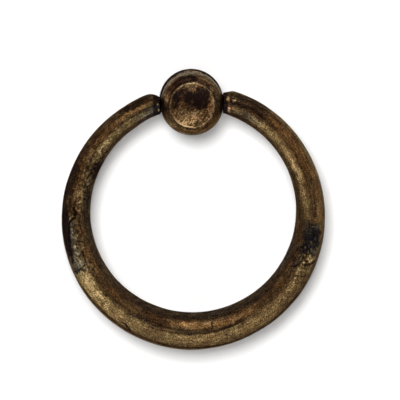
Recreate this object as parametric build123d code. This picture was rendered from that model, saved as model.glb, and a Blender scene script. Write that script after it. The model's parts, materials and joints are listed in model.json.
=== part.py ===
from build123d import *
import os
from math import asin, cos, pi, radians, sin, sqrt, tan

# Drop pull for a drawer front: a turned brass ball post, screwed on from behind, and a heavy open ring
# that hangs from the ball on two pins of its own.
# The origin is the centre of the post's flat back, on the drawer front. The pull faces -Y and the ring
# hangs along -Z. All lengths are in millimetres.

# Ball post
ball_d = 12.9
standoff = 9.5          # drawer front to the ball's centre, which the pivot axis runs through
dish_d = 9.3            # rim of the hollow in the ball's face
dish_depth = 0.9
rim_round = 0.18
neck_d = 7.6
cove_round = 1.2        # hollow rounds between ball, neck and foot
cove_share = 0.45       # most of the neck's length that one of them may take
foot_d = 13.2
foot_thickness = 1.6
foot_round = 0.5
seat_d = 3.6            # flats faced on the ball's sides, where the ring's ends run

# Screw hole in the back, M4
tap_drill_d = 3.3
tap_depth = 8.0
drill_point_angle = 118

# Ring
ring_outer_d = 54.0
bar_bottom_d = 7.5      # bar thickness at the bottom of the ring
bar_top_d = 4.5         # and at the top, where the circle would close
bar_sections = 17       # circles that the tapered bar is lofted through
end_lift = 0.4          # bar's centreline above the pivot axis, at the ring's ends
nose_d = 5.5            # the ends are turned about the pivot axis
nose_round = 1.4
pin_d = 2.6
pin_length = 3.0
pin_tip = 0.3

# Fits
pin_clearance = 0.05    # between a pin and its hole, all round
end_play = 0.1          # between a ring end and its seat
pin_end_gap = 0.4       # between a pin's tip and the bottom of its hole

# Worked out from the sizes above
ball_r = ball_d / 2
seat_x = sqrt(ball_r**2 - (seat_d / 2) ** 2)
end_x = seat_x + end_play
pivot = Location((0, -standoff, 0))

bar_mean_r = (bar_bottom_d + bar_top_d) / 4
bar_taper = (bar_bottom_d - bar_top_d) / 4
hoop_r = ring_outer_d / 2 - bar_mean_r
hoop_drop = sqrt(hoop_r**2 - end_x**2) - end_lift


# The profile's corner nearest a point
def corner(face, x, y):
    return face.vertices().sort_by_distance((x, y, 0))[0]


# Half profile of the post in XY, turned about the Y axis
def turned_post():
    neck_r = neck_d / 2
    foot_r = foot_d / 2
    dish_r = dish_d / 2
    rim_y = -standoff - sqrt(ball_r**2 - dish_r**2)
    neck_y = -standoff + sqrt(ball_r**2 - neck_r**2)
    dish_sphere_r = (dish_r**2 + dish_depth**2) / (2 * dish_depth)

    half = Pos(0, -standoff) * Circle(ball_r)
    half += Pos(0, -standoff / 2) * Rectangle(neck_d, standoff)
    half += Pos(0, -foot_thickness / 2) * Rectangle(foot_d, foot_thickness)
    half -= Pos(0, rim_y + dish_depth - dish_sphere_r) * Circle(dish_sphere_r)
    half = split(half, Plane.YZ, keep=Keep.TOP)

    neck_length = -foot_thickness - neck_y
    cove = min(cove_round, neck_length * cove_share)
    half = fillet(corner(half, neck_r, neck_y), cove)
    half = fillet(corner(half, neck_r, -foot_thickness), cove)
    half = fillet(corner(half, foot_r, -foot_thickness), foot_round)
    half = fillet(corner(half, dish_r, rim_y), rim_round)
    return revolve(half, Axis.Y)


# A round cutter or pin along X, from one distance to another on either side of the ball
def side_rounds(diameter, inner_x, outer_x):
    length = outer_x - inner_x
    middle = (inner_x + outer_x) / 2
    places = [pivot * Pos(side * middle, 0, 0) * Rot(0, 90, 0) for side in (-1, 1)]
    return [place * Cylinder(diameter / 2, length) for place in places]


# Drilled from the back: the tap's hole and the drill's point beyond it
def screw_hole():
    drill_r = tap_drill_d / 2
    point = drill_r / tan(radians(drill_point_angle / 2))
    with_point = make_face(
        Polyline((0, 0), (drill_r, 0), (drill_r, -tap_depth), (0, -tap_depth - point), close=True)
    )
    return revolve(with_point, Axis.Y)


def ball_post():
    post = turned_post()
    post -= side_rounds(nose_d, seat_x, ball_r + end_play)
    pin_tip_x = end_x - pin_length
    post -= side_rounds(pin_d + 2 * pin_clearance, pin_tip_x - pin_end_gap, ball_r)
    return post - screw_hole()


# Circle of the bar at an angle from the bottom of the ring, square to the hoop
def bar_section(angle):
    place = Vector(hoop_r * sin(angle), -standoff, -hoop_drop - hoop_r * cos(angle))
    along = Vector(cos(angle), 0, sin(angle))
    radius = bar_mean_r + bar_taper * cos(angle)
    return Plane(place, x_dir=(0, 1, 0), z_dir=along) * Circle(radius)


# Space between the ring's ends, with their turned noses, revolved about the pivot axis
def end_gap():
    nose_r = nose_d / 2
    nose_x = end_x + nose_round
    profile = make_face(
        Polyline((0, 0), (end_x, 0), (end_x, nose_r - nose_round))
        + RadiusArc((end_x, nose_r - nose_round), (nose_x, nose_r), nose_round)
        + Polyline((nose_x, nose_r), (nose_x, bar_top_d), (0, bar_top_d), (0, 0))
    )
    half_gap = revolve(profile, Axis.X)
    return pivot * (half_gap + mirror(half_gap, Plane.YZ))


def ring():
    last_angle = pi - asin((end_x - bar_top_d / 2) / hoop_r)
    step = 2 * last_angle / (bar_sections - 1)
    bar = loft([bar_section(step * i - last_angle) for i in range(bar_sections)])
    hoop = bar - end_gap()
    pins = side_rounds(pin_d, end_x - pin_length, end_x + nose_round)
    for pin in pins:
        tip = pin.edges().sort_by(lambda edge: abs(edge.center().X))[0]
        hoop += chamfer(tip, pin_tip)
    return hoop


os.makedirs("parts", exist_ok=True)
export_step(ball_post(), "parts/ball_post.step")
export_step(ring(), "parts/ring.step")
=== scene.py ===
import json
import math

import bmesh
import bpy
import numpy as np
from mathutils import Matrix, Vector, noise


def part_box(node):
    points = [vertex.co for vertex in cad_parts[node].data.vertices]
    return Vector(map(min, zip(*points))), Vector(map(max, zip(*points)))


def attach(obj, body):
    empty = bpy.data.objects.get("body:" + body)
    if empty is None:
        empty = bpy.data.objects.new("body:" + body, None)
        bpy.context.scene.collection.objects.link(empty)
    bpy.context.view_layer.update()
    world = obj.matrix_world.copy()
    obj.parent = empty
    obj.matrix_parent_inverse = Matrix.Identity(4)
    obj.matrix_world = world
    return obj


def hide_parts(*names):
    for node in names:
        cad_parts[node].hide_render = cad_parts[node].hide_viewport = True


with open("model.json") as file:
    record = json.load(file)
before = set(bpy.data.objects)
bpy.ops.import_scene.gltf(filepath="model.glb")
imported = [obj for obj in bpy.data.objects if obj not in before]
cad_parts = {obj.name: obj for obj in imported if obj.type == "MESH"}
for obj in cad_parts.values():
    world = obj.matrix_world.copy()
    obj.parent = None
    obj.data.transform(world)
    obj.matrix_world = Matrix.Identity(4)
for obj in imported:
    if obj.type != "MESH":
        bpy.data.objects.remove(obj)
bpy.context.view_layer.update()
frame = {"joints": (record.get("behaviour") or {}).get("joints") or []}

mm = 0.001
scene = bpy.context.scene
scene.view_settings.view_transform = "Standard"
pivot = np.array(frame["joints"][0]["pos_m"])    # the ring swings on an X axis through the ball's centre
ringLow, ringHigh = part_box("ring")
print("frame loaded, ring box in mm", [round(x / mm, 2) for x in (*ringLow, *ringHigh)])


# Helpers for meshes and their wear and painted shading

def smooth(low, high, x):
    t = np.clip((x - low) / (high - low), 0, 1)
    return t * t * (3 - 2 * t)


# Lumpy noise at each point, about -1 to 1, where the shift goes to another part of the same noise
def grain(points, size, octaves=3, shift=0.0, fall=0.9, step=2.1):
    lumps = [noise.fractal(Vector(p), fall, step, octaves) for p in points / size + shift]
    return np.array(lumps)


def tubeMesh(name, loops, firstTip, lastTip):
    count = len(loops[0])
    verts = np.vstack([firstTip[None], *loops, lastTip[None]])
    faces = []
    for i in range(len(loops) - 1):
        a = 1 + i * count
        b = a + count
        faces += [(a + j, a + (j + 1) % count, b + (j + 1) % count, b + j) for j in range(count)]
    last = 1 + (len(loops) - 1) * count
    faces += [(0, 1 + (j + 1) % count, 1 + j) for j in range(count)]
    faces += [(last + count, last + j, last + (j + 1) % count) for j in range(count)]
    mesh = bpy.data.meshes.new(name)
    mesh.from_pydata(verts.tolist(), [], faces)
    tidyMesh(mesh)
    piece = bpy.data.objects.new(name, mesh)
    scene.collection.objects.link(piece)
    return piece


def tidyMesh(mesh, sharpAngle=38):
    work = bmesh.new()
    work.from_mesh(mesh)
    bmesh.ops.recalc_face_normals(work, faces=work.faces)
    work.to_mesh(mesh)
    work.free()
    mesh.shade_smooth()
    mesh.set_sharp_from_angle(angle=math.radians(sharpAngle))


def readPoints(mesh):
    flat = np.empty(len(mesh.vertices) * 3, np.float32)
    mesh.vertices.foreach_get("co", flat)
    return flat.reshape(-1, 3).astype(float)


# Wear and painted shading as values from about 0 to 1, and the lay of the streaks as a vector
def paint(mesh, layers, lay, least=-0.4, most=1.3):
    for name, values in layers.items():
        layer = mesh.attributes.new(name, "FLOAT", "POINT")
        layer.data.foreach_set("value", np.clip(values, least, most).astype(np.float32))
    layer = mesh.attributes.new("lay", "FLOAT_VECTOR", "POINT")
    layer.data.foreach_set("vector", lay.astype(np.float32).ravel())


# Distance of each point on a flat sheet from a bent line on it
def lineDistance(flat, path):
    nearest = np.full(len(flat), np.inf)
    for start, end in zip(path[:-1], path[1:]):
        step = end - start
        share = np.clip((flat - start) @ step / (step @ step), 0, 1)
        nearest = np.minimum(nearest, np.linalg.norm(flat - start - share[:, None] * step, axis=1))
    return nearest


# Antiqued brass

def addNode(tree, kind, **settings):
    made = tree.nodes.new("ShaderNode" + kind)
    for key, value in settings.items():
        setattr(made, key, value)
    return made


def fillRamp(ramp, stops):
    while len(ramp.elements) < len(stops):
        ramp.elements.new(1.0)
    for element, (position, colour) in zip(ramp.elements, stops):
        element.position = position
        element.color = (*colour, 1)


def agedBrass(name, finish):
    material = bpy.data.materials.new(name)
    material.use_nodes = True
    tree = material.node_tree
    shader = tree.nodes["Principled BSDF"]
    shader.inputs["Metallic"].default_value = 1.0
    shader.inputs["Specular Tint"].default_value = (*finish["edgeTint"], 1)
    place = addNode(tree, "TexCoord").outputs["Object"]
    lay = addNode(tree, "Attribute", attribute_name="lay").outputs["Vector"]

    # noise either side of nothing
    def speckle(vector, size, detail):
        made = addNode(tree, "TexNoise")
        made.inputs["Scale"].default_value = 1 / size
        made.inputs["Detail"].default_value = detail
        made.inputs["Roughness"].default_value = finish["grainRough"]
        tree.links.new(vector, made.inputs["Vector"])
        return reckon("SUBTRACT", made.outputs["Fac"], 0.5)

    def layer(attribute):
        return addNode(tree, "Attribute", attribute_name=attribute).outputs["Fac"]

    def reckon(how, a, b, c=0.0):
        made = addNode(tree, "Math", operation=how)
        for socket, value in zip(made.inputs, (a, b, c)):
            if isinstance(value, float):
                socket.default_value = value
            else:
                tree.links.new(value, socket)
        return made.outputs[0]

    def stain(amount, under, tint):
        made = addNode(tree, "Mix", data_type="RGBA", blend_type="MULTIPLY")
        tree.links.new(amount, made.inputs["Factor"])
        tree.links.new(under, made.inputs[6])
        made.inputs[7].default_value = (*tint, 1)
        return made.outputs[2]

    broken = reckon("MULTIPLY", speckle(place, finish["coarseGrain"], 3), finish["coarseBreak"])
    broken = reckon("MULTIPLY_ADD", speckle(lay, finish["streakGrain"], 2), finish["streakBreak"], broken)
    broken = reckon("MULTIPLY_ADD", speckle(place, finish["fineGrain"], 2), finish["fineBreak"], broken)

    wornAndShaded = reckon("ADD", layer("wearAndShading"), broken)
    shades = addNode(tree, "ValToRGB")
    tree.links.new(wornAndShaded, shades.inputs["Fac"])
    fillRamp(shades.color_ramp, finish["shades"])
    drift = speckle(lay, finish["driftGrain"], 2)
    redder = reckon("MULTIPLY_ADD", drift, finish["drift"], layer("ruddy"))
    greyer = reckon("MULTIPLY_ADD", drift, -finish["drift"], layer("ashen"))
    colour = stain(redder, shades.outputs["Color"], finish["ruddy"])
    colour = stain(greyer, colour, finish["ashen"])
    tree.links.new(colour, shader.inputs["Base Color"])

    rough = addNode(tree, "MapRange")
    tree.links.new(wornAndShaded, rough.inputs["Value"])
    rough.inputs["To Min"].default_value = finish["patinaRough"]
    rough.inputs["To Max"].default_value = finish["brassRough"]
    tree.links.new(rough.outputs["Result"], shader.inputs["Roughness"])

    bump = addNode(tree, "Bump")
    bump.inputs["Strength"].default_value = finish["bumpStrength"]
    bump.inputs["Distance"].default_value = finish["bumpDepth"]
    tree.links.new(broken, bump.inputs["Height"])
    tree.links.new(bump.outputs["Normal"], shader.inputs["Normal"])
    return material


# Ring: a tapered bar bent to an open hoop, with turned noses and pins at its ends

ring = {
    "hoopR": 24.0 * mm,
    "barMeanR": 3.0 * mm,
    "barTaper": 0.75 * mm,      # added at the bottom, taken off at the ends
    "endX": 6.294 * mm,         # faces of the two noses
    "noseR": 2.75 * mm,
    "noseRound": {-1: 1.4 * mm, 1: 1.1 * mm},       # left and right
    "fileStart": {-1: 159.8, 1: 160.6},             # degrees from the bottom
    "fileDepth": {-1: 1.37 * mm, 1: 0.62 * mm},
    "fileLength": 5.5,          # degrees
    "pinR": 1.3 * mm,
    "pinLength": 3.0 * mm,
    "pinTip": 0.3 * mm,
    "rows": 900,
    "columns": 100,
    "crowding": 0.38,           # of the columns towards the front
    "endFade": 0.03,            # share of the bar over which its unevenness dies out at a nose
    "lumpSize": 5.0 * mm,
    "lumpDepth": 0.03 * mm,
    "pitSize": 0.9 * mm,
    "pitDepth": 0.014 * mm,
    "crumbSize": 0.55 * mm,     # in the hollows
    "crackleSize": 1.6 * mm,
    "crackleDepth": 0.04 * mm,
    "crackleWear": 0.24,
    "scarWander": 0.2 * mm,
    "scarGrain": 0.6 * mm,
    "ragSizes": (1.6 * mm, 0.5 * mm),
    "ragAlong": 3.0,            # degrees
    "ragAcross": 0.12,
    "streakLength": 6,          # times as long as broad
    "wearAndShading": 0.555,
    "cloudSize": 0.9 * mm,
    "cloudWear": 0.08,
    "innerPaintedShade": 0.30,          # painted shade along the inner side
    "outerPaintedShade": 0.24,          # and along the outer side
    "outerEdgeHighlight": 0.12,          # but a painted highlight at the very edge
    "backDark": 0.10,
    "blackEnd": {-1: 7.9 * mm, 1: 7.3 * mm},        # black noses of painted crevice shade and grime, as far as this from the ball's middle
    "noseShadeAndGrime": 0.5,
    "blackRag": 0.15 * mm,
}
hoopCentre = np.array([0, pivot[1], ringLow.z + ring["hoopR"] + (ringHigh.y - ringLow.y) / 2])


# Taken off the tops of both ends with a file, more and more towards the ball
def filed(along, around):
    start = np.where(along < 0, ring["fileStart"][-1], ring["fileStart"][1])
    depth = np.where(along < 0, ring["fileDepth"][-1], ring["fileDepth"][1])
    share = np.clip((np.degrees(np.abs(along)) - start) / ring["fileLength"], 0, 1)
    return depth * share ** 2 * smooth(0.1, 0.9, np.sin(around))


# Plain radius of the bar
def barRadius(along):
    return ring["barMeanR"] + ring["barTaper"] * np.cos(along)


# Point of the bar: along from the bottom of the ring, around from the front, plus outward on the hoop
def barPoint(along, around, lift=0.0):
    radius = barRadius(along) + lift - filed(along, around)
    reach = ring["hoopR"] + radius * np.sin(around)
    off = [reach * np.sin(along), -radius * np.cos(around), -reach * np.cos(along)]
    return hoopCentre + np.stack(off, -1)


def noseX(fromAxis, side):
    rounding = ring["noseRound"][side]
    over = np.clip(fromAxis - ring["noseR"] + rounding, 0, rounding)
    return ring["endX"] + rounding - np.sqrt(rounding ** 2 - over ** 2)


# Where each line along the bar runs out at a nose
def barEnds(around, side):
    near = np.full_like(around, math.radians(130))
    far = np.full_like(around, math.radians(178))
    for _ in range(40):
        middle = (near + far) / 2
        p = barPoint(side * middle, around)
        inside = side * p[:, 0] > noseX(np.hypot(p[:, 1] - pivot[1], p[:, 2] - pivot[2]), side)
        near = np.where(inside, middle, near)
        far = np.where(inside, far, middle)
    return near


# Loops from the edge of a nose in to its pin, along the pin and over its tip
def noseLoops(edge, side):
    offY = edge[:, 1] - pivot[1]
    offZ = edge[:, 2] - pivot[2]
    rim = np.hypot(offY, offZ)
    turn = np.arctan2(offZ, offY)
    base = ring["endX"]
    tip = base - ring["pinLength"]
    pinStops = [(ring["pinR"], base)]
    pinStops += [(ring["pinR"], base - t * mm) for t in (0.1, 0.3, 0.7, 1.4, 2.1)]
    pinStops += [(ring["pinR"], tip + ring["pinTip"]), (ring["pinR"] - ring["pinTip"], tip)]

    def loopAt(r, x):
        return np.stack([side * x, pivot[1] + r * np.cos(turn), pivot[2] + r * np.sin(turn)], -1)

    loops = []
    for share in (0.1, 0.2, 0.32, 0.46, 0.62, 0.8):
        r = rim + (ring["pinR"] - rim) * share
        loops.append(loopAt(r, noseX(r, side)))
    loops += [loopAt(r, np.full_like(turn, x)) for r, x in pinStops]
    return loops, np.array([side * tip, pivot[1], pivot[2]])


# The hoop was bent and filed by hand: at these degrees from the bottom, millimetres outward and thicker
ringBends = [
    (-166, 0.0, 0.0),
    (-157, 0.06, 0.05),
    (-148, -0.12, 0.08),
    (-115, -0.09, 0.0),
    (-88, 0.01, -0.06),
    (-52, 0.08, 0.03),
    (-5, 0.0, 0.13),
    (25, -0.16, 0.02),
    (60, -0.09, -0.02),
    (92, 0.02, -0.02),
    (122, 0.11, 0.07),
    (136, 0.15, 0.16),
    (148, 0.16, 0.23),
    (162, 0.17, 0.2),
    (166, 0.0, 0.0),
]

# Patches of wear and painted reflection on the ring's front: how much, degrees along from the bottom with
# plus to the right,
# and across from -1 at the inner edge to 1 at the outer edge
ringWearAndShading = [
    # left end and upper left
    ("ashen", 0.3, (-175, -158), (-1.3, 1.3)),
    ("ashen", 0.5, (-164, -161), (-0.8, 0.1)),
    ("wearAndShading", -0.14, (-161, -156), (-1.1, -0.02)),
    ("ashen", 0.6, (-160, -148), (-0.95, -0.2)),
    ("wearAndShading", 0.12, (-159, -120), (0.04, 0.45)),         # red brown along the top
    ("wearAndShading", 0.06, (-159, -142), (0.1, 0.5)),
    ("ruddy", 0.2, (-158, -140), (0.0, 0.9)),
    ("ashen", 0.2, (-160, -104), (0.15, 0.5)),
    ("ruddy", 0.5, (-140, -118), (0.0, 0.9)),
    ("wearAndShading", -0.14, (-157, -128), (0.48, 0.85)),
    ("wearAndShading", -0.20, (-162, -146), (0.44, 1.1)),
    ("wearAndShading", -0.16, (-162, -134), (-0.16, -0.04)),      # painted reflection of the dark room, a thin dark line along the crown
    ("wearAndShading", 0.04, (-151, -120), (-0.75, -0.15)),       # handled gold
    ("wearAndShading", 0.22, (-139, -125), (-0.42, -0.08)),
    ("wearAndShading", -0.16, (-122, -111), (-1.0, -0.35)),       # dark swirl
    ("wearAndShading", 0.09, (-126, -110), (0.05, 0.45)),
    ("wearAndShading", 0.14, (-112, -94), (-0.4, 0.3)),
    # left side
    ("wearAndShading", -0.22, (-124, -112), (0.6, 1.1)),          # black left along the outer side
    ("wearAndShading", -0.34, (-113, -100), (0.45, 1.1)),
    ("wearAndShading", -0.30, (-100, -90), (0.62, 1.1)),
    ("wearAndShading", -0.50, (-92, -72), (0.5, 0.95)),
    ("wearAndShading", -0.12, (-101, -86), (-0.9, -0.4)),
    ("ashen", 0.7, (-88, -71), (0.05, 0.6)),
    ("ashen", 1.0, (-71, -64.6), (0.12, 0.85)),
    ("wearAndShading", 0.08, (-84, -56), (-0.6, -0.12)),
    ("wearAndShading", 0.10, (-82, -60), (-0.4, -0.1)),
    ("ruddy", 0.5, (-84, -56), (-0.6, 0.0)),
    ("wearAndShading", 0.16, (-89, -74), (0.08, 0.45)),
    ("wearAndShading", 0.1, (-74, -66), (0.15, 0.6)),
    ("ruddy", 0.5, (-112, -92), (-0.2, 0.5)),
    ("wearAndShading", 0.27, (-64.6, -48), (0.06, 0.86)),         # the brightest rub
    ("wearAndShading", 0.17, (-48, -37), (0.1, 0.78)),
    # bottom
    ("wearAndShading", 0.07, (-37, 4), (0.14, 0.6)),
    ("wearAndShading", 0.05, (4, 62), (0.06, 0.42)),
    ("wearAndShading", -0.06, (2, 40), (0.46, 0.8)),
    ("wearAndShading", -0.12, (40, 62), (0.46, 0.8)),
    ("wearAndShading", -0.18, (-30, -14), (-0.62, -0.08)),        # dark stains on the inner side
    ("wearAndShading", 0.15, (-12, 32), (-0.52, -0.16)),          # warm streak
    ("wearAndShading", 0.08, (8, 26), (-0.44, -0.22)),
    # painted reflection of the dark room along the crown
    ("wearAndShading", -0.16, (-10, 24), (-0.1, 0.0)),
    ("ruddy", 0.4, (-56, 60), (-0.8, 0.02)),
    ("ashen", 0.48, (-112, 76), (-1.1, -0.5)),
    ("ashen", 0.3, (60, 84), (-0.6, -0.1)),
    ("ashen", 0.45, (16, 88), (0.75, 1.1)),
    ("ashen", 0.2, (-70, 70), (-0.5, -0.1)),
    ("ashen", -0.3, (-63.5, 62), (0.0, 1.0)),           # clean gold along the outer half
    ("ruddy", 0.14, (-63.5, 62), (0.1, 0.8)),
    ("wearAndShading", 0.10, (49, 63), (0.02, 0.4)),
    # right side
    ("wearAndShading", 0.34, (67.6, 70.6), (0.22, 0.52)),
    ("wearAndShading", -0.44, (72.5, 84), (-0.32, 0.3)),          # black pit
    ("wearAndShading", -0.44, (74.5, 83.5), (0.3, 0.68)),
    ("wearAndShading", -0.36, (70.5, 73), (-0.12, 0.55)),
    ("wearAndShading", -0.30, (84, 87), (-0.14, 0.4)),
    ("wearAndShading", -0.18, (69, 72), (-0.4, -0.1)),
    ("wearAndShading", 0.20, (62, 69), (-0.1, 0.2)),
    ("ashen", 0.95, (71, 87), (-0.3, 0.66)),
    ("ruddy", 0.55, (60, 84), (-0.8, -0.32)),
    ("wearAndShading", 0.15, (88, 124), (-0.56, -0.08)),          # handled gold
    ("wearAndShading", 0.16, (96, 122), (-0.44, -0.3)),
    ("wearAndShading", -0.05, (90, 120), (-0.24, -0.08)),
    ("wearAndShading", 0.08, (124, 152), (-0.66, -0.1)),
    ("wearAndShading", 0.15, (89, 138), (0.16, 0.7)),             # red brown outer half
    ("ruddy", 0.5, (88, 138), (0.05, 0.5)),
    ("ruddy", 0.68, (88, 138), (0.5, 0.76)),
    ("ruddy", 0.42, (96, 160), (-0.12, 0.18)),
    ("ruddy", 0.28, (82, 146), (-0.95, -0.1)),
    ("ruddy", 0.25, (80, 142), (0.76, 1.1)),
    ("ashen", -0.3, (88, 142), (-0.9, -0.1)),
    ("ashen", -0.6, (92, 142), (-0.1, 0.18)),
    ("ashen", -0.15, (88, 142), (0.18, 0.5)),
    ("ashen", -0.3, (88, 142), (0.5, 0.72)),
    ("ashen", 0.3, (80, 160), (0.75, 1.1)),
    ("ashen", 0.2, (138, 162), (0.15, 0.75)),
    ("ruddy", 0.4, (138, 153), (0.1, 0.75)),
    ("wearAndShading", 0.08, (84, 160), (0.74, 0.98)),
    # painted reflection of the dark room along the crown
    ("wearAndShading", -0.10, (90, 128), (0.0, 0.1)),
    # right end
    ("wearAndShading", -0.20, (136, 162), (-0.1, 0.3)),
    ("wearAndShading", -0.30, (144, 162), (0.2, 0.5)),
    ("wearAndShading", -0.20, (144, 162), (0.5, 1.1)),
    ("wearAndShading", -0.12, (148, 162), (-0.9, -0.1)),
    ("ashen", 0.3, (142, 160), (-0.7, -0.15)),
    ("wearAndShading", -0.07, (159.6, 164), (-0.8, 0.6)),
    ("ruddy", 0.9, (159.6, 164), (-0.8, 0.6)),
    ("ashen", 0.5, (159.6, 164), (-0.8, 0.6)),
]

# Hollows that the casting left rough: depth, degrees along, across
ringHollows = [
    (0.16 * mm, (72.5, 83.5), (-0.26, 0.45)),
    (0.12 * mm, (75.5, 82.5), (0.3, 0.62)),
    (0.10 * mm, (70, 73.5), (-0.1, 0.5)),
    (0.10 * mm, (-91, -72), (0.56, 0.9)),
    (0.06 * mm, (-88, -64), (0.1, 0.6)),
    (0.05 * mm, (-121, -111), (-0.9, -0.1)),
    (0.05 * mm, (63, 71), (-0.2, 0.6)),
]

# Where the casting's skin is crackled: how much, degrees along, across
ringCrackle = [
    (0.5, (-150, -126), (-0.6, 0.3)),
    (1.0, (-126, -98), (-0.85, 0.5)),
    (0.9, (-98, -62), (-0.35, 0.62)),
    (0.5, (-62, -40), (0.0, 0.7)),
    (0.8, (56, 73), (-0.6, 0.62)),
]

# Cracks and scars, with painted glints and a painted dark reflection among them: width, depth, how black
# (below nothing for the painted glints), then points along and across
ringScarsAndPaintedLight = [
    (0.52 * mm, 0.16 * mm, 0.55, [(-95, 0.16), (-92.6, 0.06), (-90.4, 0.02), (-89.6, 0.2), (-88, 0.43)]),
    (0.55 * mm, 0.12 * mm, 0.4, [(-88, 0.43), (-83.4, 0.5), (-76.7, 0.62), (-70, 0.7)]),
    (0.40 * mm, 0.12 * mm, 0.24, [(-113.7, -0.04), (-116.1, -0.03), (-117.6, -0.29), (-116.7, -0.57),
                                  (-113.3, -0.5), (-111.3, -0.4)]),
    (0.42 * mm, 0.10 * mm, 0.22, [(-119.1, -0.5), (-118.8, -0.8), (-113.4, -0.86), (-111, -0.78)]),
    (0.36 * mm, 0.08 * mm, 0.22, [(-115, -0.2), (-114.6, -0.38), (-115.6, -0.42)]),
    (0.40 * mm, 0.08 * mm, 0.26, [(-65.2, 0.8), (-65.8, 0.45), (-66.4, 0.14)]),     # edge of the bright rub
    (0.32 * mm, 0.10 * mm, 0.5, [(-34.2, 0.6), (-32.1, 0.65), (-29.5, 0.77)]),
    (0.22 * mm, 0.08 * mm, 0.5, [(9, -0.51), (8.6, -0.38), (8.9, -0.26), (8.3, -0.13)]),
    (0.26 * mm, 0.08 * mm, 0.45, [(14.8, 0.33), (15, 0.35)]),
    (0.45 * mm, 0.04 * mm, 0.22, [(-22, 0.07), (-12, 0.04), (-3, 0.015), (9.4, -0.02),
                                  (18, -0.09), (25, -0.15)]),       # shallow groove painted dark as the reflection of the dark room along the bottom's crown
    (0.55 * mm, 0.12 * mm, 0.36, [(69.3, 0.0), (66.1, -0.05), (63.7, -0.22), (62.7, -0.31)]),
    (0.55 * mm, 0.12 * mm, 0.36, [(65.5, 0.22), (66.8, 0.62), (68.5, 0.7)]),
    (0.45 * mm, 0.10 * mm, 0.34, [(70.6, 0.1), (67.6, 0.2), (67.4, 0.34)]),
    (0.28 * mm, 0.03 * mm, 0.25, [(-58, 0.88), (0, 0.86), (58, 0.86)]),     # filed line near the outer edge
    (0.30 * mm, 0.03 * mm, 0.22, [(88, 0.25), (96.4, 0.31), (101, 0.38), (107, 0.42)]),
    # painted highlights: glints on the edges of the two noses
    (0.60 * mm, -0.02 * mm, -0.62, [(161.0, -0.68), (161.2, -0.44)]),
    (0.60 * mm, -0.02 * mm, -0.74, [(162.9, 0.3), (163.0, 0.52)]),
    (0.50 * mm, 0.0, -0.16, [(161.4, -0.36), (161.9, 0.1)]),
    (0.60 * mm, 0.0, -0.52, [(160.2, 0.38), (159.5, 0.44)]),
    (0.50 * mm, 0.0, -0.26, [(159.4, -0.26), (158.8, -0.34)]),
    (0.28 * mm, 0.0, -0.90, [(-162.5, -0.62), (-162.7, -0.44)]),
    (0.26 * mm, 0.0, -0.80, [(-162.7, -0.04), (-163.2, -0.01)]),
    (0.50 * mm, 0.0, -0.22, [(-160.2, 0.3), (-158.5, 0.24), (-154, 0.22)]),    # light streak along the top
    (0.50 * mm, 0.0, -0.14, [(-154, 0.22), (-147, 0.24), (-139, 0.23)]),
    # crumbs left standing in the black pit
    (0.34 * mm, -0.08 * mm, -0.42, [(84, 0.1), (84.3, 0.17)]),
    (0.30 * mm, -0.08 * mm, -0.36, [(81, 0.0), (80.6, 0.06)]),
    (0.36 * mm, -0.08 * mm, -0.42, [(76.9, 0.2), (76.2, 0.27)]),
    (0.32 * mm, -0.08 * mm, -0.38, [(74, -0.14), (73.6, -0.06)]),
    (0.34 * mm, -0.08 * mm, -0.40, [(74, 0.28), (73.5, 0.34)]),
    (0.30 * mm, -0.06 * mm, -0.34, [(72.3, 0.12), (72, 0.2)]),
    (0.28 * mm, -0.06 * mm, -0.30, [(79, 0.42), (78.6, 0.46)]),
]


def ringPatch(along, across, spanAlong, spanAcross, softAlong=1.1, softAcross=0.07):
    lengthways = (smooth(spanAlong[0] - softAlong, spanAlong[0] + softAlong, along)
                  - smooth(spanAlong[1] - softAlong, spanAlong[1] + softAlong, along))
    crossways = (smooth(spanAcross[0] - softAcross, spanAcross[0] + softAcross, across)
                 - smooth(spanAcross[1] - softAcross, spanAcross[1] + softAcross, across))
    return lengthways * crossways


# Where points lie on the bar: degrees along, across, how far they face the front, and the bar's radius
def ringPlace(points):
    off = points - hoopCentre
    degrees = np.degrees(np.arctan2(off[:, 0], -off[:, 2]))
    radius = barRadius(np.radians(degrees))
    across = (np.hypot(off[:, 0], off[:, 2]) - ring["hoopR"]) / radius
    front = smooth(-0.05, 0.3, -off[:, 1] / radius)
    return degrees, across, front, radius


# The bar's skin laid out flat, in metres along and across
def laidFlat(degrees, across):
    along = np.radians(degrees)
    return np.stack([along * ring["hoopR"], across * barRadius(along)], -1)


# Edges of the patches, torn a little on a coarse and a fine scale
def torn(points, degrees, across):
    coarse, fine = ring["ragSizes"]
    rag = grain(points, coarse, 2, 5.0) + 0.6 * grain(points, fine, 2, 15.0)
    ragAcross = grain(points, coarse, 2, 25.0) + 0.6 * grain(points, fine, 2, 35.0)
    return degrees + rag * ring["ragAlong"], across + ragAcross * ring["ragAcross"]


# Worming lines in the crackled skin
def crackle(points, degrees, across, front):
    lines = 1 - smooth(0.05, 0.17, np.abs(grain(points, ring["crackleSize"], 1, 44.0)))
    where = np.zeros(len(points))
    for strength, spanAlong, spanAcross in ringCrackle:
        where += strength * front * ringPatch(degrees, across, spanAlong, spanAcross)
    return where * lines, where * grain(points, 0.3 * ring["crackleSize"], 2, 48.0)


# Depth and blackness of the scars, with the painted glints as negative blackness
def scarsAndPaintedLight(points, degrees, across, front):
    depth = np.zeros(len(points))
    black = np.zeros(len(points))
    wander = [grain(points, ring["scarGrain"], 3, shift) for shift in (61.0, 71.0)]
    flat = laidFlat(degrees, across) + ring["scarWander"] * np.stack(wander, -1)
    for width, deep, dark, path in ringScarsAndPaintedLight:
        line = [laidFlat(*stop) for stop in path]
        inside = front * (1 - smooth(0.25 * width, 0.75 * width, lineDistance(flat, line)))
        depth += deep * inside
        black += dark * inside
    return depth, black


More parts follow.
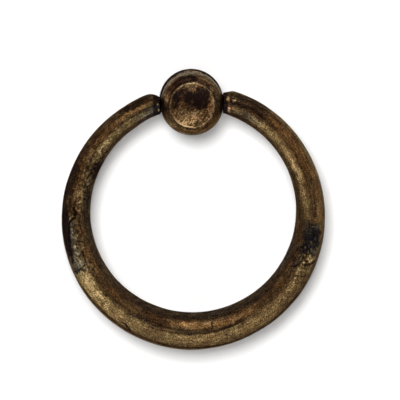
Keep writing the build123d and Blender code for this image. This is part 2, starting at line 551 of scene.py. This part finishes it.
# How far the bent and worn skin lies outside the plain bar
def ringRelief(plain, around):
    degrees, across, front, _ = ringPlace(plain)
    bends = np.array(ringBends)
    shift = np.interp(degrees, bends[:, 0], bends[:, 1]) * mm
    swell = np.interp(degrees, bends[:, 0], bends[:, 2]) * mm
    lift = shift * np.sin(around) + swell * np.sin(around) ** 2
    lift += grain(plain, ring["lumpSize"], 2, 3.0) * ring["lumpDepth"]
    lift += np.minimum(grain(plain, ring["pitSize"], 3, 11.0), 0.1) * ring["pitDepth"]
    tornDegrees, tornAcross = torn(plain, degrees, across)
    crumbs = 0.75 + 0.7 * grain(plain, ring["crumbSize"], 2, 81.0)
    for deep, spanAlong, spanAcross in ringHollows:
        lift -= deep * front * ringPatch(tornDegrees, tornAcross, spanAlong, spanAcross) * crumbs
    lines, lumps = crackle(plain, tornDegrees, tornAcross, front)
    lift += ring["crackleDepth"] * (0.5 * lumps - lines)
    return lift - scarsAndPaintedLight(plain, degrees, across, front)[0]


def paintRingWearAndShading(mesh):
    points = readPoints(mesh)
    degrees, across, front, radius = ringPlace(points)
    depth = points[:, 1] - hoopCentre[1]
    lay = np.stack([np.radians(degrees) * ring["hoopR"] / ring["streakLength"], across * radius, depth], -1)
    wearAndShading = ring["wearAndShading"] + ring["cloudWear"] * grain(lay, ring["cloudSize"], 3, 50.0)
    # painted shade on the inner and outer flanks, and a painted highlight along the very outer edge
    wearAndShading -= ring["innerPaintedShade"] * smooth(0.5, 0.85, -across)
    wearAndShading -= ring["outerPaintedShade"] * smooth(0.6, 0.86, across) - ring["outerEdgeHighlight"] * smooth(0.88, 0.96, across)
    wearAndShading -= ring["backDark"] * (1 - front)
    layers = {"wearAndShading": wearAndShading, "ruddy": np.zeros(len(points)), "ashen": np.zeros(len(points))}
    tornDegrees, tornAcross = torn(points, degrees, across)
    for name, strength, spanAlong, spanAcross in ringWearAndShading:
        layers[name] += strength * front * ringPatch(tornDegrees, tornAcross, spanAlong, spanAcross)
    # black noses, square to the pivot axis: painted shade in the crevice by the ball, with grime
    blackEnd = np.where(points[:, 0] < 0, ring["blackEnd"][-1], ring["blackEnd"][1])
    inward = blackEnd - np.abs(points[:, 0]) + ring["blackRag"] * grain(points, 0.5 * mm, 2, 15.0)
    nose = smooth(-0.2 * mm, 0.2 * mm, inward) * smooth(150, 152, np.abs(degrees))
    layers["wearAndShading"] -= ring["noseShadeAndGrime"] * nose
    lines, lumps = crackle(points, tornDegrees, tornAcross, front)
    layers["wearAndShading"] += ring["crackleWear"] * (lumps - lines)
    # scars darken, the painted glints brighten and the painted crown reflection darkens
    layers["wearAndShading"] -= scarsAndPaintedLight(points, degrees, across, front)[1]
    paint(mesh, layers, lay)


def makeRing():
    turn = np.linspace(-math.pi, math.pi, ring["columns"], endpoint=False)
    around = turn - ring["crowding"] * np.sin(turn)
    share = np.linspace(-1, 1, ring["rows"])[:, None]
    along = share * np.where(share < 0, barEnds(around, -1)[None], barEnds(around, 1)[None])
    grid = along.shape
    fade = smooth(0, ring["endFade"], 1 - np.abs(np.broadcast_to(share, grid))).ravel()
    around = np.broadcast_to(around, grid).ravel()
    along = along.ravel()
    lift = ringRelief(barPoint(along, around), around)
    bar = barPoint(along, around, fade * lift).reshape(*grid, 3)

    leftLoops, leftTip = noseLoops(bar[0], -1)
    rightLoops, rightTip = noseLoops(bar[-1], 1)
    loops = leftLoops[::-1] + list(bar) + rightLoops
    piece = tubeMesh("swing_ring", loops, leftTip, rightTip)
    paintRingWearAndShading(piece.data)
    return piece


# Ball post

post = {
    "ballR": 6.45 * mm,
    "dishR": 4.65 * mm,
    "dishDepth": 0.9 * mm,
    "rimRound": 0.18 * mm,
    "neckR": 3.8 * mm,
    "footR": 6.6 * mm,
    "footThickness": 1.6 * mm,
    "footRound": 0.5 * mm,
    "coveRound": 1.2 * mm,
    "seatX": 6.194 * mm,
    "seatR": 2.75 * mm,
    "pinHoleR": 1.35 * mm,
    "pinHoleEnd": 2.894 * mm,
    "tapR": 1.65 * mm,
    "threadR": 2.0 * mm,
    "threadPitch": 0.7 * mm,
    "tapDepth": 8.0 * mm,
    "drillPoint": 59,           # half angle
    "segments": 256,
    "drillSegments": 96,
    "threadLoops": 92,
    "wearAndShading": 0.5,
    "ruddy": 0.24,
    "ashen": 0.12,
    "cloudSize": 0.6 * mm,
    "cloudWear": 0.08,
    "scratchTurn": 50,          # degrees from the horizontal, across the dish
    "scratchLength": 5,
    "markSize": 0.36 * mm,      # dents in the scratched part of the dish
    "markWear": 0.46,
    "markDepth": 0.02 * mm,
    "neckDark": 0.32,
    "footDark": 0.06,
    "footEdgeHighlight": 0.75,            # painted highlight along the front edge of the foot
    # painted grey sheen along the same edge
    "footEdgeSheen": 0.8,
    "seatPaintedShade": 0.08,           # painted shade where the ring's ends run
}


def arc(centre, radius, start, end, count):
    angles = np.radians(np.linspace(start, end, count))
    return [(centre[0] + radius * math.cos(a), centre[1] + radius * math.sin(a)) for a in angles]


# Half profile of the turned post as (radius, y), from the dish's middle round to the screw hole
def postProfile():
    ballR = post["ballR"]
    dishR = post["dishR"]
    y0 = pivot[1]
    rimY = y0 - math.sqrt(ballR ** 2 - dishR ** 2)
    bowlR = (dishR ** 2 + post["dishDepth"] ** 2) / (2 * post["dishDepth"])
    bowlY = rimY + post["dishDepth"] - bowlR
    # the rim's round touches the ball from inside and the bowl from outside
    nearBall = ballR - post["rimRound"]
    nearBowl = bowlR + post["rimRound"]
    apart = y0 - bowlY
    up = (nearBowl ** 2 - nearBall ** 2 + apart ** 2) / (2 * apart)
    rim = (math.sqrt(nearBowl ** 2 - up ** 2), bowlY + up)
    bowlAngle = math.degrees(math.atan2(rim[1] - bowlY, rim[0]))
    rimAngle = math.degrees(math.atan2(rim[1] - y0, rim[0]))
    dish = arc((0, bowlY), bowlR, 89.7, bowlAngle, 60)
    edge = arc(rim, post["rimRound"], bowlAngle - 180, rimAngle, 9)[1:-1]
    # hollow rounds from ball to neck and from neck to foot
    cove = post["coveRound"]
    coveX = post["neckR"] + cove
    coveY = y0 + math.sqrt((ballR + cove) ** 2 - coveX ** 2)
    neckAngle = math.degrees(math.atan2(coveY - y0, coveX))
    ball = arc((0, y0), ballR, rimAngle, neckAngle, 96)
    footY = -post["footThickness"]
    neck = arc((coveX, coveY), cove, neckAngle + 180, 180, 9)[1:]
    neck += arc((coveX, footY - cove), cove, 180, 90, 12)
    foot = arc((post["footR"] - post["footRound"], footY + post["footRound"]), post["footRound"], -90, 0, 9)
    back = [(post["footR"], y * mm) for y in (-0.6, -0.03)]
    back += [(x * mm, 0) for x in (6.57, 6.0, 5.2, 4.4, 3.6, 2.8, 2.3)]
    return dish + edge + ball + neck + foot + back


# Patches of wear, painted shade and painted light in the dish: how much, middle across and up, half their
# width and height in millimetres
dishWearAndShading = [
    ("wearAndShading", -0.42, (-1.8, 2.0), (2.0, 1.5)),           # painted shade over the upper part of the dish, with patina left in the hollow
    ("wearAndShading", -0.50, (2.0, 1.4), (1.6, 2.2)),
    ("wearAndShading", -0.30, (0.2, 1.0), (1.3, 1.4)),
    ("wearAndShading", -0.26, (-3.6, 0.8), (0.8, 1.5)),
    ("wearAndShading", -0.16, (-0.6, -0.4), (2.4, 0.7)),
    ("ruddy", 0.6, (0.1, 1.4), (4.3, 2.6)),
    ("wearAndShading", 0.06, (-0.7, 4.0), (0.9, 0.55)),           # painted reflection, gold under the rim
    ("wearAndShading", 0.27, (-1.9, -2.5), (2.7, 2.0)),           # scratched lower part, with painted light
    ("wearAndShading", 0.19, (1.8, -2.6), (2.4, 1.8)),
    ("wearAndShading", -0.16, (0.9, -4.0), (1.2, 0.5)),
    ("ashen", 0.04, (-0.6, -2.4), (4.2, 2.4)),
    ("wearAndShading", 0.3, (3.9, -0.4), (0.8, 1.7)),
    ("ruddy", 0.4, (4.0, -0.4), (0.9, 1.8)),
    ("marks", 0.84, (0.0, -2.6), (4.0, 2.3)),
]

# Patches of wear and painted highlight on the rim and shoulder: how much, distance from the dish's middle
# in millimetres, and the turn
# in degrees from the right hand side with half the sweep
shoulderWearAndShading = [
    ("wearAndShading", 0.18, (4.36, 4.64), (90, 180)),            # rubbed rim, with a painted highlight on its lower left
    ("wearAndShading", 0.24, (4.3, 4.7), (96, 14)),
    ("wearAndShading", 0.66, (4.34, 4.64), (247, 26)),
    ("wearAndShading", 0.2, (4.3, 4.66), (312, 20)),
    ("wearAndShading", -0.22, (4.72, 5.0), (270, 158)),           # dark line round the rim
    ("wearAndShading", -0.42, (4.75, 5.9), (116, 34)),            # black on the upper shoulder
    ("wearAndShading", -0.20, (5.5, 6.1), (104, 24)),
    ("wearAndShading", -0.26, (4.9, 5.5), (66, 20)),
    ("wearAndShading", -0.26, (4.9, 5.5), (18, 12)),
    ("wearAndShading", -0.20, (4.8, 5.7), (182, 12)),
    ("ruddy", 0.4, (4.7, 6.4), (160, 50)),
    ("wearAndShading", -0.16, (4.9, 5.5), (335, 40)),
    ("wearAndShading", -0.14, (4.8, 5.5), (200, 14)),
    ("wearAndShading", -0.07, (4.9, 6.2), (270, 40)),
    ("wearAndShading", -0.08, (4.8, 6.3), (40, 18)),
    ("wearAndShading", 0.16, (6.25, 6.7), (92, 60)),              # painted highlight along the ball's top edge
    # painted reflection, grey along the same top edge
    ("ashen", 0.8, (5.9, 6.7), (98, 70)),
    ("ashen", 0.14, (4.7, 6.3), (90, 180)),
    ("ruddy", 0.14, (4.7, 6.3), (90, 180)),
    ("marks", 0.58, (4.7, 6.3), (90, 180)),
]


def dishPatch(across, up, middle, half, rag):
    away = np.hypot((across - middle[0] * mm) / (half[0] * mm), (up - middle[1] * mm) / (half[1] * mm))
    return 1 - smooth(0.72, 1.28, away + rag)


def shoulderPatch(across, up, out, sweep, rag):
    far = np.hypot(across, up) / mm + 0.3 * rag
    turn = np.degrees(np.arctan2(up, across))
    aside = np.abs((turn - sweep[0] + 180) % 360 - 180) + 20 * rag
    band = smooth(out[0] - 0.1, out[0] + 0.1, far) - smooth(out[1] - 0.1, out[1] + 0.1, far)
    return band * (1 - smooth(sweep[1] - 8, sweep[1] + 8, aside))


def makePost():
    profile = np.array(postProfile())
    turn = np.linspace(0, 2 * math.pi, post["segments"], endpoint=False)

    def turned(r, y):
        return np.stack([r * np.cos(turn), np.full_like(turn, y), r * np.sin(turn)], -1)

    loops = [turned(r, y) for r, y in profile]
    # tapped hole, with its thread cut outward from the drilled wall
    for depth in np.linspace(0, post["tapDepth"], post["threadLoops"]):
        phase = (depth / post["threadPitch"] + turn / (2 * math.pi)) % 1
        cut = np.clip(1 - np.abs(phase - 0.5) * 2.4, 0, 1) * smooth(0, 0.1, 1 - depth / post["tapDepth"])
        loops.append(turned(post["tapR"] + (post["threadR"] - post["tapR"]) * cut, -depth))
    point = post["tapR"] / math.tan(math.radians(post["drillPoint"]))
    for share in (0.3, 0.6, 0.9):
        loops.append(turned(post["tapR"] * (1 - share), -post["tapDepth"] - point * share))
    firstTip = np.array([0, profile[0][1], 0])
    lastTip = np.array([0, -post["tapDepth"] - point, 0])
    piece = tubeMesh("ball_post_turned", loops, firstTip, lastTip)

    for side in (-1, 1):
        drillHole(piece, side, post["seatR"], post["seatX"])
        drillHole(piece, side, post["pinHoleR"], post["pinHoleEnd"])
    tidyMesh(piece.data)
    paintPostWearAndShading(piece.data)
    return piece


# Scratches slant across the dish, and turning marks run round the rest
def postLay(points, dish):
    x, y, z = points.T
    slant = math.radians(post["scratchTurn"])
    length = post["scratchLength"]
    drawn = (x * math.cos(slant) + z * math.sin(slant)) / length
    offLine = -x * math.sin(slant) + z * math.cos(slant)
    scratched = np.stack([drawn, offLine, y], -1)
    marked = np.stack([x / length, np.hypot(x, z), y + z / length], -1)
    return np.where(dish[:, None] > 0.5, scratched, marked)


def paintPostWearAndShading(mesh):
    points = readPoints(mesh)
    across, y, up = points.T
    out = np.hypot(across, up)
    before = pivot[1] - y
    front = smooth(0, 1 * mm, before)
    dish = front * (1 - smooth(post["dishR"] - 0.25 * mm, post["dishR"] - 0.1 * mm, out))
    rag = 0.25 * grain(points, 1.2 * mm, 2, 5.0) + 0.2 * grain(points, 0.4 * mm, 2, 15.0)
    lay = postLay(points, dish)

    wearAndShading = post["wearAndShading"] + post["cloudWear"] * grain(lay, post["cloudSize"], 3, 50.0)
    layers = {"wearAndShading": wearAndShading, "marks": np.zeros(len(points))}
    layers["ruddy"] = np.full(len(points), post["ruddy"])
    layers["ashen"] = np.full(len(points), post["ashen"])
    for name, strength, middle, half in dishWearAndShading:
        layers[name] += strength * dish * dishPatch(across, up, middle, half, rag)
    shoulder = smooth(-1.6 * mm, -0.7 * mm, before)
    for name, strength, reach, sweep in shoulderWearAndShading:
        layers[name] += strength * shoulder * shoulderPatch(across, up, reach, sweep, rag)

    # small dents, pressed in along Y
    dents = np.maximum(grain(points * [1, 0.2, 1], post["markSize"], 2, 90.0), -0.3)
    marks = layers.pop("marks") * dents
    layers["wearAndShading"] += post["markWear"] * marks
    y += post["markDepth"] * marks
    mesh.vertices.foreach_set("co", points.astype(np.float32).ravel())
    mesh.update()

    # dark neck, a painted highlight and grey sheen on the front edge of the foot, painted shade where the
    # ring's ends run
    layers["wearAndShading"] -= post["neckDark"] * smooth(0.3 * mm, 3 * mm, -before)
    inward = (post["footR"] - out) / mm
    foot = smooth(-post["footThickness"] - 0.6 * mm, -post["footThickness"] - 0.1 * mm, y)
    edge = foot * smooth(1.1, 0.8, inward)
    highlighted = edge * smooth(0.2, 0.42, inward) * smooth(-0.8 * mm, -1.1 * mm, y)
    layers["wearAndShading"] += post["footEdgeHighlight"] * highlighted - post["footDark"] * foot
    layers["ashen"] += post["footEdgeSheen"] * edge * smooth(-0.3 * mm, -0.6 * mm, y)
    beside = smooth(5.0 * mm, 5.8 * mm, np.abs(across))
    level = 1 - smooth(1.5 * mm, 2.4 * mm, np.abs(up) + rag * mm)
    layers["wearAndShading"] -= post["seatPaintedShade"] * beside * level
    paint(mesh, layers, lay)


def drillHole(piece, side, radius, inner):
    outer = post["ballR"] + 1 * mm
    drill = bpy.data.meshes.new("drill")
    work = bmesh.new()
    bmesh.ops.create_cone(work, cap_ends=True, segments=post["drillSegments"],
                          radius1=radius, radius2=radius, depth=outer - inner)
    bmesh.ops.rotate(work, verts=work.verts, matrix=Matrix.Rotation(math.pi / 2, 3, "Y"))
    bmesh.ops.translate(work, verts=work.verts, vec=(side * (inner + outer) / 2, *pivot[1:]))
    work.to_mesh(drill)
    work.free()
    cutter = bpy.data.objects.new("drill", drill)
    scene.collection.objects.link(cutter)
    cut = piece.modifiers.new("cut", "BOOLEAN")
    cut.operation = "DIFFERENCE"
    cut.solver = "EXACT"
    cut.object = cutter
    bpy.context.view_layer.update()
    done = bpy.data.meshes.new_from_object(piece.evaluated_get(bpy.context.evaluated_depsgraph_get()))
    piece.modifiers.clear()
    piece.data = done
    bpy.data.objects.remove(cutter)


ringFinish = {
    "shades": [     # from blackened hollows through brown patina to bare brass
        (0.0, (0.016, 0.011, 0.0098)),
        (0.2, (0.041, 0.026, 0.0158)),
        (0.4, (0.089, 0.0565, 0.028)),
        (0.6, (0.18, 0.12, 0.051)),
        (0.8, (0.36, 0.246, 0.099)),
        (1.0, (0.84, 0.63, 0.31)),
    ],
    "ruddy": (1.08, 0.82, 0.78),
    "ashen": (0.78, 1.0, 1.5),
    "drift": 1.4,               # slow change between those two
    "driftGrain": 0.8 * mm,
    "edgeTint": (0.42, 0.4, 0.38),
    "brassRough": 0.3,
    "patinaRough": 0.46,
    "grainRough": 0.6,
    "fineGrain": 0.25 * mm,
    "fineBreak": 1.4,
    "streakGrain": 0.3 * mm,
    "streakBreak": 0.7,
    "coarseGrain": 1.5 * mm,
    "coarseBreak": 0.45,
    "bumpStrength": 0.4,
    "bumpDepth": 0.05 * mm,
}
postFinish = dict(ringFinish, streakBreak=1.1, fineBreak=1.3, ruddy=(1.1, 0.82, 0.76))
postFinish["shades"] = ringFinish["shades"][:-1] + [(1.0, (0.92, 0.74, 0.43))]

ringPiece = makeRing()
ringPiece.data.materials.append(agedBrass("ring brass", ringFinish))
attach(ringPiece, "swing_ring")
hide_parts("ring")
print("ring made,", len(ringPiece.data.polygons), "faces")

postPiece = makePost()
postPiece.data.materials.append(agedBrass("post brass", postFinish))
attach(postPiece, "post")
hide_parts("ball_post")
print("post made,", len(postPiece.data.polygons), "faces")


# Studio: a pale wall behind the pull, a pale floor below it, a dim canopy above and soft lamps

studio = {
    "wallGap": 0.3 * mm,        # behind the post's back
    "openingR": 6.0 * mm,       # in the wall, hidden behind the foot
    "wallTop": 0.16,
    "floorDrop": 0.22,
    "floorReach": 3.0,
    "halfWidth": 1.2,
    "wallColour": (0.86, 0.86, 0.86),
    "wallGlow": 0.09,           # for what is seen straight or mirrored
    "floorColour": (0.68, 0.68, 0.68),
    "floorGlow": 0.18,
    "roomLight": 0.02,
    "canopyR": 1.7,
    "canopyShades": [           # height over the horizon as a sine, and how light it is there
        (0.0, 0.06),
        (0.12, 0.08),
        (0.34, 0.30),
        (0.8, 0.34),
        (0.93, 0.2),
        (1.0, 0.12),
    ],
    "canopyTint": (1.12, 0.86, 0.68),
    "canopyLow": -6,            # degrees from the horizon
    "canopySide": 92,           # degrees either way from the front
}
lamps = {
    "key": {"azimuth": -6.1, "elevation": 14.9, "distance": 1.0, "width": 0.3, "height": 0.3,
            "watts": 10.0, "colour": (1, 1, 1), "shine": False},
    "top": {"azimuth": 9, "elevation": 47, "distance": 0.8, "width": 0.34, "height": 0.55,
            "watts": 0.55, "colour": (1.0, 0.9, 0.75), "shine": True},
}


# Direction from the pull, with the azimuth from the front and plus to the right
def towards(azimuth, elevation):
    a = math.radians(azimuth)
    e = math.radians(elevation)
    return Vector((math.sin(a) * math.cos(e), -math.cos(a) * math.cos(e), math.sin(e)))


def bareMaterial(name):
    material = bpy.data.materials.new(name)
    material.use_nodes = True
    material.node_tree.nodes.clear()
    return material


# 1 for rays that look straight, mirrored or through glass at the background
def lookingRays(tree):
    rays = addNode(tree, "LightPath")
    looking = rays.outputs["Is Camera Ray"]
    for kind in ("Is Glossy Ray", "Is Transmission Ray"):
        either = addNode(tree, "Math", operation="MAXIMUM")
        tree.links.new(looking, either.inputs[0])
        tree.links.new(rays.outputs[kind], either.inputs[1])
        looking = either.outputs[0]
    return looking


def mixShaders(tree, amount, first, second):
    mixed = addNode(tree, "MixShader")
    tree.links.new(amount, mixed.inputs[0])
    tree.links.new(first, mixed.inputs[1])
    tree.links.new(second, mixed.inputs[2])
    return mixed.outputs[0]


# Matt and pale in front, and not there at all when seen from behind
def paleSheet(name, colour, glowStrength):
    material = bareMaterial(name)
    tree = material.node_tree
    matt = addNode(tree, "BsdfDiffuse")
    matt.inputs["Color"].default_value = (*colour, 1)
    glow = addNode(tree, "Emission")
    glow.inputs["Strength"].default_value = glowStrength
    lit = addNode(tree, "AddShader")
    tree.links.new(matt.outputs[0], lit.inputs[0])
    tree.links.new(glow.outputs[0], lit.inputs[1])
    front = mixShaders(tree, lookingRays(tree), matt.outputs[0], lit.outputs[0])
    clear = addNode(tree, "BsdfTransparent")
    behind = addNode(tree, "NewGeometry").outputs["Backfacing"]
    out = addNode(tree, "OutputMaterial")
    tree.links.new(mixShaders(tree, behind, front, clear.outputs[0]), out.inputs["Surface"])
    return material


def stageSheet(name, points, faces, material):
    mesh = bpy.data.meshes.new(name)
    mesh.from_pydata(points, [], faces)
    mesh.materials.append(material)
    made = bpy.data.objects.new(name, mesh)
    scene.collection.objects.link(made)
    return made


# Wall with a round opening behind the foot, so that the foot's back gets light
def makeWall(material, count=64):
    y = studio["wallGap"]
    inner = []
    outer = []
    for i in range(count):
        across = math.cos(2 * math.pi * i / count)
        up = math.sin(2 * math.pi * i / count)
        limit = studio["wallTop"] if up > 0 else studio["floorDrop"]
        reach = min(studio["halfWidth"] / max(abs(across), 1e-6), limit / max(abs(up), 1e-6))
        inner.append((studio["openingR"] * across, y, studio["openingR"] * up))
        outer.append((reach * across, y, reach * up))
    faces = [(i, count + i, count + (i + 1) % count, (i + 1) % count) for i in range(count)]
    stageSheet("paleWall", inner + outer, faces, material)


def makeFloor(material):
    w = studio["halfWidth"]
    near = studio["wallGap"]
    far = -studio["floorReach"]
    z = -studio["floorDrop"]
    corners = [(-w, near, z), (-w, far, z), (w, far, z), (w, near, z)]
    stageSheet("paleFloor", corners, [(0, 1, 2, 3)], material)


# Dim half dome over the front, which the upper side of the brass mirrors
def makeCanopy(rings=24, ribs=48):
    material = bareMaterial("dim canopy")
    tree = material.node_tree
    place = addNode(tree, "SeparateXYZ")
    tree.links.new(addNode(tree, "TexCoord").outputs["Object"], place.inputs[0])
    height = addNode(tree, "Math", operation="DIVIDE")
    tree.links.new(place.outputs["Z"], height.inputs[0])
    height.inputs[1].default_value = studio["canopyR"]
    shades = addNode(tree, "ValToRGB")
    tree.links.new(height.outputs[0], shades.inputs["Fac"])
    fillRamp(shades.color_ramp, [(at, [shade * tint for tint in studio["canopyTint"]])
                                 for at, shade in studio["canopyShades"]])
    glow = addNode(tree, "Emission")
    tree.links.new(shades.outputs["Color"], glow.inputs["Color"])
    out = addNode(tree, "OutputMaterial")
    tree.links.new(glow.outputs[0], out.inputs["Surface"])

    low = studio["canopyLow"]
    side = studio["canopySide"]
    points = []
    for i in range(rings + 1):
        elevation = low + (90 - low) * i / rings
        for j in range(ribs + 1):
            points.append(towards(2 * side * j / ribs - side, elevation) * studio["canopyR"])
    faces = []
    for i in range(rings):
        for j in range(ribs):
            a = i * (ribs + 1) + j
            faces.append((a, a + 1, a + ribs + 2, a + ribs + 1))
    canopy = stageSheet("dimCanopy", points, faces, material)
    canopy.visible_camera = False
    canopy.visible_diffuse = False
    canopy.visible_shadow = False


def makeRoom():
    scene.world = bpy.data.worlds.new("room")
    scene.world.use_nodes = True
    tree = scene.world.node_tree
    tree.nodes.clear()
    dim = addNode(tree, "Background")
    dim.inputs["Color"].default_value = (1, 1, 1, 1)
    dim.inputs["Strength"].default_value = studio["roomLight"]
    white = addNode(tree, "Background")
    white.inputs["Color"].default_value = (1, 1, 1, 1)
    seen = mixShaders(tree, lookingRays(tree), dim.outputs[0], white.outputs[0])
    out = addNode(tree, "OutputWorld")
    tree.links.new(seen, out.inputs["Surface"])


def makeLamp(name, values, aim):
    light = bpy.data.lights.new(name, "AREA")
    light.shape = "RECTANGLE"
    light.size = values["width"]
    light.size_y = values["height"]
    light.energy = values["watts"]
    light.color = values["colour"]
    lamp = bpy.data.objects.new(name, light)
    back = towards(values["azimuth"], values["elevation"])
    lamp.location = aim + back * values["distance"]
    lamp.rotation_mode = "QUATERNION"
    lamp.rotation_quaternion = (-back).to_track_quat("-Z", "Y")
    lamp.visible_camera = False
    lamp.visible_glossy = values["shine"]
    scene.collection.objects.link(lamp)


makeWall(paleSheet("pale wall", studio["wallColour"], studio["wallGlow"]))
makeFloor(paleSheet("pale floor", studio["floorColour"], studio["floorGlow"]))
makeCanopy()
makeRoom()
for lampName, lampValues in lamps.items():
    makeLamp(lampName, lampValues, Vector(hoopCentre))
print("studio made")


# Camera: a long lens a little above the ball

camera = {
    "distance": 0.8,
    "azimuth": -1.053,
    "elevation": 5.298,
    "roll": -0.687,
    "aim": (1.409 * mm, -9.5 * mm, -19.76 * mm),
    "lens": 351.7,
    "film": 36,
    "nearest": 0.01,
    "furthest": 20,
}


def makeCamera():
    data = bpy.data.cameras.new("camera")
    data.lens = camera["lens"]
    data.sensor_width = camera["film"]
    data.clip_start = camera["nearest"]
    data.clip_end = camera["furthest"]
    eye = bpy.data.objects.new("camera", data)
    scene.collection.objects.link(eye)
    back = towards(camera["azimuth"], camera["elevation"])
    right = towards(camera["azimuth"] + 90, 0)
    up = back.cross(right)
    roll = math.radians(camera["roll"])
    across = math.cos(roll) * right + math.sin(roll) * up
    above = -math.sin(roll) * right + math.cos(roll) * up
    eye.matrix_world = Matrix((across, above, back)).transposed().to_4x4()
    eye.location = Vector(camera["aim"]) + back * camera["distance"]
    scene.camera = eye


makeCamera()
print("camera set")
